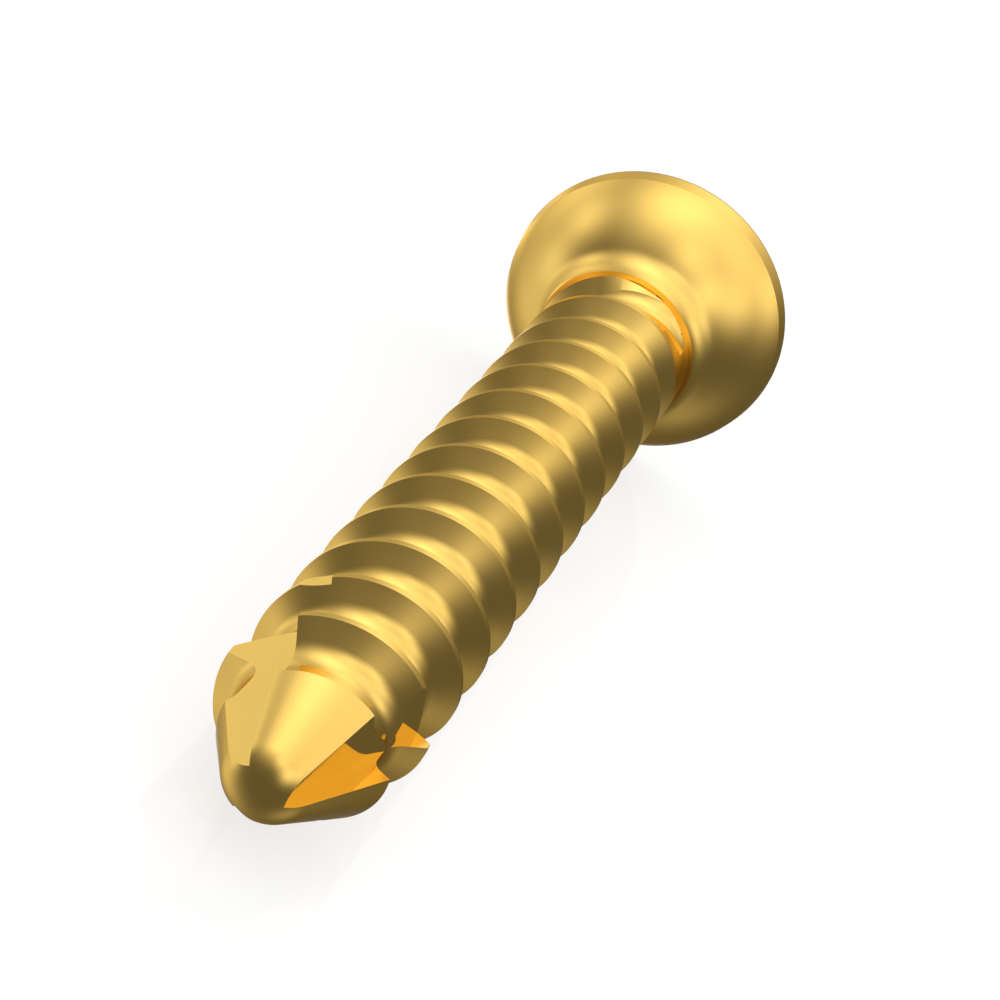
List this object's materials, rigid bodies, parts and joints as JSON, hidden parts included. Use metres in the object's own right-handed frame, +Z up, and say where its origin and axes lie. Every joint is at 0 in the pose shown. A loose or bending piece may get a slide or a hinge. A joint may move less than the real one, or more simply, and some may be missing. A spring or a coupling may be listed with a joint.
{
  "type": "orthopedic bone screw",
  "caption": "Self-tapping cortical bone screw with a buttress thread, a fluted cone tip, and a spherical-seat head with a hexagon socket.",
  "frame": {"origin": "centre of the base of the bounding box, on the surface that the screw lies on", "axes": "+X towards the head along the screw's length, +Z up, the screw lying on its head's rim and on its thread's crests at both sides of one flute, so its own axis climbs 5.1 degrees towards the head"},
  "size_m": [0.0282, 0.0086, 0.0085],
  "materials": {
    "gold_anodised_titanium": "gold-anodised titanium, polished"
  },
  "bodies": {
    "root": {"bone_screw": "gold_anodised_titanium"}
  },
  "joints": []
}
